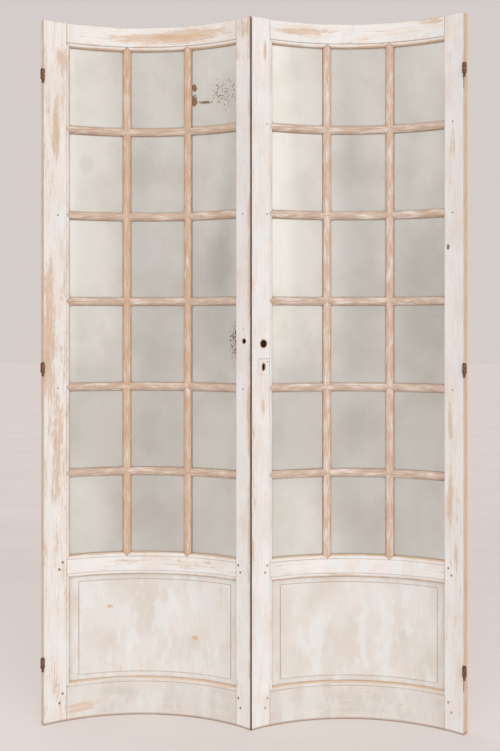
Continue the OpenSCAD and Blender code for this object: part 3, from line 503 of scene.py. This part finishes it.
# Wrought iron left to rust: dull, pitted, from near black through brown to powdery orange.
def rustedIron(name, look):
    material = newMaterial(name)
    tree = material.node_tree
    here = addNode(tree, "ShaderNodeTexCoord")
    scale = grainNoise(tree, here.outputs["Object"], (9, 9, 9), look["seed"], 5.0, 0.68, 0.4)
    pits = grainNoise(tree, here.outputs["Object"], (1.6, 1.6, 1.6), look["seed"] + 4, 3.0, 0.6)
    rust = addNode(tree, "ShaderNodeValToRGB", None, {0: scale})
    ramp = rust.color_ramp
    ramp.elements[0].position = 0.34
    ramp.elements[0].color = fromHex(look["dark"])
    ramp.elements[1].position = 0.70
    ramp.elements[1].color = fromHex(look["dust"])
    middle = ramp.elements.new(0.50)
    middle.color = fromHex(look["rust"])
    # Darker rust in the pits, placed at random.
    pitting = addNode(tree, "ShaderNodeMapRange", {"From Min": 0.55, "From Max": 0.30, "To Max": 0.6},
                    {"Value": pits})
    colour = addNode(tree, "ShaderNodeMix", {"data_type": "RGBA", 7: fromHex(look["pits"])},
                     {0: pitting.outputs[0], 6: rust.outputs[0]})
    bright = addNode(tree, "ShaderNodeMapRange",
                     {"From Min": 0.44, "From Max": 0.34, "To Max": look["metal"]},
                     {"Value": scale})
    rough = addNode(tree, "ShaderNodeMapRange", {"To Min": look["rough"], "To Max": 0.92}, {"Value": scale})
    bump = addNode(tree, "ShaderNodeBump", {"Strength": 0.8, "Distance": 0.0005}, {"Height": pits})
    return finishMaterial(material, {},
                          {"Base Color": colour.outputs[2], "Metallic": bright.outputs[0],
                           "Roughness": rough.outputs[0], "Normal": bump.outputs[0]})


def dress(node, material):
    for place in nodes[node].material_slots:
        place.material = material


# How each painted piece is worn. wear moves the paint line. spots are ovals of extra wear and stains
# are brown ovals, in mm: along the bow from the leaf's middle, height, half width, half height, strength.
whitePaint = {
    "paintLight": "#F2F2F1", "paintDingy": "#E9E6E2", "thinPaint": "#E9E1D7",
    "woodDark": "#CBAA88", "woodLight": "#E1CAB2",
    "laterCoat": "#EBF1F2", "paintRim": "#B98F66", "specks": "#8C6B4C", "corners": "#7A5C42",
    "foot": "#A07A58", "stain": "#86603F", "holeRustAndShade": "#2C1B10", "crack": "#A07C5A",
    "handledAndShaded": "#5E3820",
    "arris": 4.0,  # mm of edge that is rubbed
    "arrisWear": 0.18, "sideWear": 0.18, "lipWear": 0.13,
    "streaks": 0.55,  # how strongly the wood shows between brush marks
    "coat": 0.75,  # how much of the later, bluer coat is left
}
greyedFoot = {"streaks": 0.3, "coat": 0.3, "paintLight": "#DFDEDB", "paintDingy": "#D3CEC7"}
smoothPanel = {"grain": "up", "wear": -0.07, "lipWear": 0.0, "streaks": 0.18, "coat": 0.5,
               "paintLight": "#E6E5E2", "paintDingy": "#DCD7CF"}
leftJoints = (-308.5, 327.5)  # mm along the bow to the two shoulders of the rails
rightJoints = (-318.5, 319.5)
paintedPieces = {
    "left_hinge_stile": {
        "side": "left", "grain": "up", "seed": 1.0, "wear": 0.045,
        "spots": ((-375, 1350, 26, 330, 0.20), (-345, 1010, 20, 260, 0.13),
                  (-350, 2060, 18, 110, 0.17), (-330, 2310, 22, 60, 0.12)),
    },
    "left_meeting_stile": {
        "side": "left", "grain": "up", "seed": 2.0, "wear": -0.02,
        "darkEdge": 3.4,  # mm
        "bareAbove": (2306, 0.12),
        "spots": ((390, 1225, 11, 1700, 0.15), (388, 1100, 14, 90, 0.12)),
        "stains": ((364, 1334, 12, 12, 1.2),),
    },
    "left_top_rail": {
        "side": "left", "grain": "along", "seed": 3.0, "wear": 0.04, "joints": leftJoints,
        "spots": ((40, 2412, 230, 22, 0.17), (150, 2425, 120, 18, 0.10)),
    },
    "left_lock_rail": {
        "side": "left", "grain": "along", "seed": 4.0, "wear": 0.02, "joints": leftJoints,
        "streaks": 0.3,
        "spots": ((60, 548, 260, 18, 0.09),),
    },
    "left_bottom_rail": {
        **greyedFoot, "side": "left", "grain": "along", "seed": 5.0, "wear": 0.0, "joints": leftJoints,
        "spots": ((-250, 40, 90, 24, 0.10),),
    },
    "left_panel": {
        **smoothPanel, "side": "left", "seed": 6.0,
        "spots": ((0, 165, 240, 34, 0.10), (180, 330, 60, 60, 0.08), (-150, 386, 15, 7, 0.40),
                  (150, 279, 13, 11, 0.40), (250, 440, 14, 90, 0.18)),
    },
    "right_meeting_stile": {
        "side": "right", "grain": "up", "seed": 7.0, "wear": -0.015,
        "darkEdge": 3.0,
        "spots": ((-338, 2340, 9, 46, 0.22), (-345, 1105, 10, 50, 0.20), (-388, 1100, 12, 900, 0.10)),
        "stains": ((-344, 1325, 18, 18, 1.5), (-344, 1245, 10, 18, 0.8)),
    },
    "right_hinge_stile": {
        "side": "right", "grain": "up", "seed": 8.0, "wear": 0.0, "sideWear": 0.40,
        "spots": ((352, 2000, 12, 90, 0.12), (345, 900, 16, 300, 0.12), (366, 700, 12, 200, 0.10)),
        "stains": ((334, 1657, 7, 11, 1.6),),  # a knot
    },
    "right_top_rail": {
        "side": "right", "grain": "along", "seed": 9.0, "wear": 0.03, "joints": rightJoints,
        "spots": ((-180, 2420, 120, 20, 0.16), (260, 2440, 60, 14, 0.16)),
    },
    "right_lock_rail": {
        "side": "right", "grain": "along", "seed": 10.0, "wear": 0.02, "joints": rightJoints,
        "streaks": 0.3,
    },
    "right_bottom_rail": {
        **greyedFoot, "side": "right", "grain": "along", "seed": 11.0, "wear": 0.0, "joints": rightJoints,
        "spots": ((-40, 100, 220, 14, 0.10),),
    },
    "right_panel": {
        **smoothPanel, "side": "right", "seed": 12.0,
        "spots": ((100, 180, 200, 50, 0.07), (-230, 330, 30, 90, 0.09)),
    },
    "right_keyhole_patch": {
        "side": "right", "grain": "up", "seed": 13.0, "wear": 0.02, "arris": 2.0,
        "paintLight": "#EDE6E0", "paintDingy": "#E2D4C8",
        "stains": ((-344, 1245, 11, 20, 0.9),),
    },
}
for node, look in paintedPieces.items():
    dress(node, wornPaintOnPine("worn white paint on pine, " + node.replace("_", " "),
                                {**whitePaint, **look}))
print("painted wood dressed:", len(paintedPieces))

# paintLeft raises how much white is left on a bar.
barGrimeAndShade = {"ledgeGrimeAndShade": "#8E6C4F", "corners": "#7A5A3E"}
bars = {
    "left": {
        **barGrimeAndShade, "side": "left",
        "paintLight": "#E9DFD4",
        "upright": {"paintLeft": 0.015, "woodDark": "#C69F7F", "woodLight": "#DCBFA3"},
        "cross": {"paintLeft": 0.026, "woodDark": "#B89C86", "woodLight": "#D3BFAC"},
    },
    "right": {
        **barGrimeAndShade, "side": "right",
        "paintLight": "#ECE5DE",
        "upright": {"paintLeft": 0.045, "woodDark": "#C6A58A", "woodLight": "#DCC4AE"},
        "cross": {"paintLeft": 0.038, "woodDark": "#B89C86", "woodLight": "#D3BFAC"},
    },
}
for side, look in bars.items():
    upright = scrapedPine("scraped pine, " + side + " upright bars",
                          {**look, **look["upright"], "grain": "up", "seed": 21.0})
    cross = scrapedPine("scraped pine, " + side + " cross bars",
                        {**look, **look["cross"], "grain": "along", "seed": 24.0})
    for number in (1, 2):
        dress(side + "_upright_bar_" + str(number), upright)
    for number in (1, 2, 3, 4, 5):
        dress(side + "_cross_bar_" + str(number), cross)
print("glazing bars dressed")

pegs = {
    "left": {"dark": "#4A3526", "light": "#7A5C44", "paint": "#D8CBBC", "paintLeft": 0.35},
    "right": {"dark": "#8A6C50", "light": "#B99C7E", "paint": "#DDD2C4", "paintLeft": 0.7},
}

# dim are ovals of duller silver that also paint darker reflections, foxed of black specks and stained of
# brown blots, in mm as for the wood.
oldSilver = {
    "silver": "#EAEDE8", "dull": "#DFE0D8", "dimSilverAndShade": "#B4B2A4", "smear": "#B9B2A8", "bloom": "#E6E3DA",
    "borderGrimeAndShade": "#8A7460", "specks": "#3E332A", "blots": "#83603F",
    "backing": "#7C5F4C", "backingWorn": "#9C8A79",  # the paint on the back of a pane
    "gloss": 0.06,
}
mirrors = {
    "left": {
        **oldSilver, "side": "left",
        "dim": ((250, 1600, 60, 130, 0.22), (20, 1000, 95, 420, 0.16), (-230, 1960, 30, 40, 0.18)),
        "foxed": ((264, 2202, 85, 84, 0.95), (322, 1330, 46, 108, 1.25), (-290, 1960, 40, 40, 0.2)),
        "stained": ((148, 2232, 15, 16, 1.5), (148, 2186, 15, 26, 1.5), (190, 2178, 42, 8, 1.1),
                    (318, 2070, 12, 14, 0.9)),
    },
    "right": {
        **oldSilver, "side": "right",
        "dim": ((250, 1250, 110, 620, 0.14), (20, 1050, 80, 90, 0.22)),
        "foxed": ((-300, 2330, 20, 20, 0.5), (-110, 1190, 12, 10, 0.7), (250, 2240, 14, 14, 0.5)),
        "stained": ((-110, 1180, 8, 6, 0.8),),
    },
}
puttyLook = {
    "dark": "#B9AC9A",
    "light": "#E4DCCF",
    "crack": "#7D6E5C",
    "crackApart": 34,  # mm
}
for side, look in mirrors.items():
    mirror = antiqueMirror("antique mirror, " + side, look)
    for row in (1, 2, 3, 4, 5, 6):
        dress(side + "_mirrors_" + str(row), mirror)
    dress(side + "_putty", driedPutty("dried putty, " + side, puttyLook))
    dress(side + "_pegs", pegEndGrain("oak pegs, " + side, pegs[side]))
print("mirrors, putty and pegs dressed")

darkPits = {"pits": "#2B201A"}
ironWork = {
    "hinges": {**darkPits, "seed": 5.0, "dark": "#3B2A22", "rust": "#7D5238", "dust": "#B98D68",
               "metal": 0.35, "rough": 0.6},
    "pins": {**darkPits, "seed": 9.0, "dark": "#332925", "rust": "#6E4A34", "dust": "#A57C5A",
             "metal": 0.5, "rough": 0.5},
    "lock": {**darkPits, "seed": 13.0, "dark": "#3A2D25", "rust": "#6B472C", "dust": "#96693F",
             "metal": 0.5, "rough": 0.5},
    "case": {**darkPits, "seed": 15.0, "dark": "#19120E", "rust": "#342216", "dust": "#573C25",
             "metal": 0.2, "rough": 0.6},
    "nailHeads": {**darkPits, "seed": 17.0, "dark": "#4A4340", "rust": "#6A5A50", "dust": "#8F8074",
                  "metal": 0.4, "rough": 0.55},
}
hingeIron = rustedIron("rusted wrought iron, hinges", ironWork["hinges"])
pinIron = rustedIron("rusted wrought iron, pins", ironWork["pins"])
lockIron = rustedIron("rusted wrought iron, lock", ironWork["lock"])
caseIron = rustedIron("blackened sheet iron, lock case", ironWork["case"])
for side in ("left", "right"):
    for place in ("bottom", "middle", "top"):
        dress(side + "_hinge_" + place, hingeIron)
    dress(side + "_hinge_pins", pinIron)
for node in ("lock_screws", "follower", "latch", "dead_bolt"):
    dress("right_" + node, lockIron)
for node in ("lock_case", "lock_cap"):
    dress("right_" + node, caseIron)
print("iron work dressed")


# Nail heads on the stiles beside the bar ends, punched nearly flush.
nails = {
    "headRadius": 0.0026,
    "domeHeight": 0.0006,
    "proud": 0.0002,  # how far the rim stands out of the wood
    "sunk": 0.0012,  # how deep its foot is in the wood
    "leftBars": (4, 2),  # cross bars nailed at both ends
    "rightMeetBars": (5, 4),  # nailed in the meeting stile
    "rightHingeBars": (5, 4, 2),  # nailed in the hinge stile
    "leftHinge": 0.055,  # distance from the leaf's corner, along the face
    "leftMeet": 0.038,
    "rightMeet": 0.067,
    "rightHinge": 0.045,
    "offBar": 0.006,
    "overKnobHole": (0.034, 0.102),  # in from the corner, and up from the top of the keyhole patch
}


def onFace(side, fromCorner, corner, up):
    # Where a spot on a leaf's front face is: a frame whose -Y points at the viewer.
    turn = halfAngle - fromCorner / bow["radius"]
    if corner == "low":
        turn = -turn
    x = leafAxis[side] + bow["radius"] * math.sin(turn)
    y = axisY + bow["radius"] * math.cos(turn)
    return Matrix.Translation((x, y, up)) @ Matrix.Rotation(-turn, 4, "Z")


def addNailHead(mesh, place, size=1.0):
    radius = nails["headRadius"] * size
    ring = bmesh.ops.create_circle(mesh, cap_ends=True, segments=14, radius=radius)["verts"]
    disc = ring[0].link_faces[0]
    bmesh.ops.transform(mesh, matrix=Matrix.Rotation(math.pi / 2, 4, "X"), verts=ring)
    bmesh.ops.translate(mesh, vec=(0, nails["sunk"], 0), verts=ring)
    raised = bmesh.ops.extrude_face_region(mesh, geom=[disc])["geom"]
    top = [v for v in raised if isinstance(v, bmesh.types.BMVert)]
    bmesh.ops.translate(mesh, vec=(0, -nails["sunk"] - nails["proud"], 0), verts=top)
    face = [f for f in raised if isinstance(f, bmesh.types.BMFace)]
    every = set(ring) | set(top)
    for width, rise in ((0.38, 0.7), (0.30, 0.3)):  # shares of the radius and of the dome's height
        step = bmesh.ops.inset_region(mesh, faces=face, thickness=radius * width,
                                      depth=nails["domeHeight"] * rise, use_even_offset=True)
        for f in step["faces"]:
            every.update(f.verts)
    for f in face:
        every.update(f.verts)
    bmesh.ops.transform(mesh, matrix=place, verts=list(every))


def meshObject(name, mesh, material):
    bmesh.ops.recalc_face_normals(mesh, faces=mesh.faces)
    data = bpy.data.meshes.new(name)
    mesh.to_mesh(data)
    mesh.free()
    data.materials.append(material)
    made = bpy.data.objects.new(name, data)
    bpy.context.scene.collection.objects.link(made)
    return made


def barHeight(side, number):
    # A few mm off the middle of the bar, above or below it by turns.
    low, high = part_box(side + "_cross_bar_" + str(number))
    return (low[2] + high[2]) / 2 + nails["offBar"] * (1 if number % 2 else -0.4)


nailIron = rustedIron("rusted iron, nail heads", ironWork["nailHeads"])
leftHeads = bmesh.new()
for number in nails["leftBars"]:
    addNailHead(leftHeads, onFace("left", nails["leftHinge"], "low", barHeight("left", number)))
    addNailHead(leftHeads, onFace("left", nails["leftMeet"], "high", barHeight("left", number)))
inward, upward = nails["overKnobHole"]
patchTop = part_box("right_keyhole_patch")[1][2]
addNailHead(leftHeads, onFace("left", inward, "high", patchTop + upward), 0.8)
rightHeads = bmesh.new()
for number in nails["rightMeetBars"]:
    addNailHead(rightHeads, onFace("right", nails["rightMeet"], "low", barHeight("right", number)))
for number in nails["rightHingeBars"]:
    addNailHead(rightHeads, onFace("right", nails["rightHinge"], "high", barHeight("right", number)))
for side, heads in (("left", leftHeads), ("right", rightHeads)):
    piece = meshObject(side + "_nail_heads", heads, nailIron)
    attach(piece, side + "_leaf")
print("nail heads made")


# Studio: a wide pale floor, a pale sky all round and two soft suns, the stronger one in front.
studio = {
    "floorSize": 80.0,
    "floorNearPaintedLight": "#EAE8E7",
    "floorFar": "#DBD7D6",
    "floorMottle": "#E6E1DF",
    "paintedPoolTone": "#FCFBFA",
    "poolPlace": (3.2, -2.9, 0),
    "sky": "#D5CDCA",
    "skyStrength": 1.0,
    "keyStrength": 1.0,
    "keyAngle": 60,
    "fillStrength": 0.45,
    "fillAngle": 70,
}
floorMesh = bmesh.new()
bmesh.ops.create_grid(floorMesh, x_segments=8, y_segments=8, size=studio["floorSize"] / 2)
floorMaterial = newMaterial("pale studio floor, matt paint")
tree = floorMaterial.node_tree
here = addNode(tree, "ShaderNodeTexCoord")
mottle = grainNoise(tree, here.outputs["Object"], (420, 420, 420), 3.0, 4.0, 0.6)
# The floor's colour paints light: lighter near the doors, against their shadow, and darker far off.
away = addNode(tree, "ShaderNodeVectorMath", {"operation": "LENGTH"}, {0: here.outputs["Object"]})
faded = addNode(tree, "ShaderNodeMapRange", {"From Min": 0.3, "From Max": 3.0},
                {"Value": away.outputs["Value"]})
tone = addNode(tree, "ShaderNodeMix",
               {"data_type": "RGBA", 6: fromHex(studio["floorNearPaintedLight"]), 7: fromHex(studio["floorFar"])},
               {0: faded.outputs[0]})
# A pool of window light painted into the floor's colour, in front, to the right.
pool = addNode(tree, "ShaderNodeVectorMath", {"operation": "DISTANCE", 1: studio["poolPlace"]},
               {0: here.outputs["Object"]})
lit = addNode(tree, "ShaderNodeMapRange",
              {"interpolation_type": "SMOOTHSTEP", "From Min": 3.1, "From Max": 1.2},
              {"Value": pool.outputs["Value"]})
tone = addNode(tree, "ShaderNodeMix", {"data_type": "RGBA", 7: fromHex(studio["paintedPoolTone"])},
               {0: lit.outputs[0], 6: tone.outputs[2]})
tint = addNode(tree, "ShaderNodeMapRange", {"From Min": 0.35, "From Max": 0.65, "To Max": 0.35},
               {"Value": mottle})
tone = addNode(tree, "ShaderNodeMix", {"data_type": "RGBA", 7: fromHex(studio["floorMottle"])},
               {0: tint.outputs[0], 6: tone.outputs[2]})
finishMaterial(floorMaterial, {"Roughness": 0.9}, {"Base Color": tone.outputs[2]})
studioFloor = meshObject("studio_floor", floorMesh, floorMaterial)

world = bpy.data.worlds.new("studio sky")
bpy.context.scene.world = world
world.use_nodes = True
tree = world.node_tree
tree.nodes.clear()
# Soft lights in the sky: a direction, the cosines where its edge begins and ends, and how much it adds.
skyLights = (
    ((0.80, -0.60, 0.05), 0.62, 0.98, 0.38),
    ((0.97, -0.24, 0.0), 0.82, 0.93, 0.24),
    ((-0.74, -0.64, -0.02), 0.86, 1.0, -0.13),
    ((-0.72, -0.60, 0.34), 0.93, 1.0, 0.16),
    ((0.0, -1.0, 0.0), 0.80, 1.0, 0.03),
    ((-0.35, -0.5, 0.8), 0.56, 0.68, 0.16),
)
toward = addNode(tree, "ShaderNodeTexCoord")
amount = None
for direction, edge, full, strength in skyLights:
    line = addNode(tree, "ShaderNodeVectorMath",
                   {"operation": "DOT_PRODUCT", 1: tuple(Vector(direction).normalized())},
                   {0: toward.outputs["Generated"]})
    glow = addNode(tree, "ShaderNodeMapRange",
                   {"interpolation_type": "SMOOTHSTEP", "From Min": edge, "From Max": full,
                    "To Max": strength},
                   {"Value": line.outputs["Value"]})
    if amount is None:
        amount = addNode(tree, "ShaderNodeMath", {"operation": "ADD", 1: studio["skyStrength"]},
                         {0: glow.outputs[0]})
    else:
        amount = addNode(tree, "ShaderNodeMath", {"operation": "ADD"},
                         {0: amount.outputs[0], 1: glow.outputs[0]})
sky = addNode(tree, "ShaderNodeBackground", {"Color": fromHex(studio["sky"])},
              {"Strength": amount.outputs[0]})
addNode(tree, "ShaderNodeOutputWorld", None, {"Surface": sky.outputs[0]})


def addSun(name, direction, strength, angle):
    data = bpy.data.lights.new(name, "SUN")
    data.energy = strength
    data.angle = math.radians(angle)
    data.color = (1.0, 1.0, 1.0)
    lamp = bpy.data.objects.new(name, data)
    lamp.rotation_euler = Vector(direction).to_track_quat("-Z", "Y").to_euler()
    lamp.location = (0, -3, 4)
    lamp.visible_glossy = False
    bpy.context.scene.collection.objects.link(lamp)
    return lamp


addSun("soft key light", (-0.12, 0.88, -0.46), studio["keyStrength"], studio["keyAngle"])
addSun("soft back light", (0.45, -0.75, -0.60), studio["fillStrength"], studio["fillAngle"])

view = {
    "place": (0.265, -4.074, 1.383),
    "turn": 3.85,  # degrees to the left of straight on
    "lens": 55.94,  # mm
    "rise": -0.0646,  # how far the lens is shifted, for upright edges
}
cameraData = bpy.data.cameras.new("camera")
cameraData.lens = view["lens"]
cameraData.shift_y = view["rise"]
camera = bpy.data.objects.new("camera", cameraData)
camera.location = view["place"]
camera.rotation_euler = (math.pi / 2, 0, math.radians(view["turn"]))
bpy.context.scene.collection.objects.link(camera)
bpy.context.scene.camera = camera
bpy.context.scene.view_settings.view_transform = "Standard"
print("studio and camera ready")
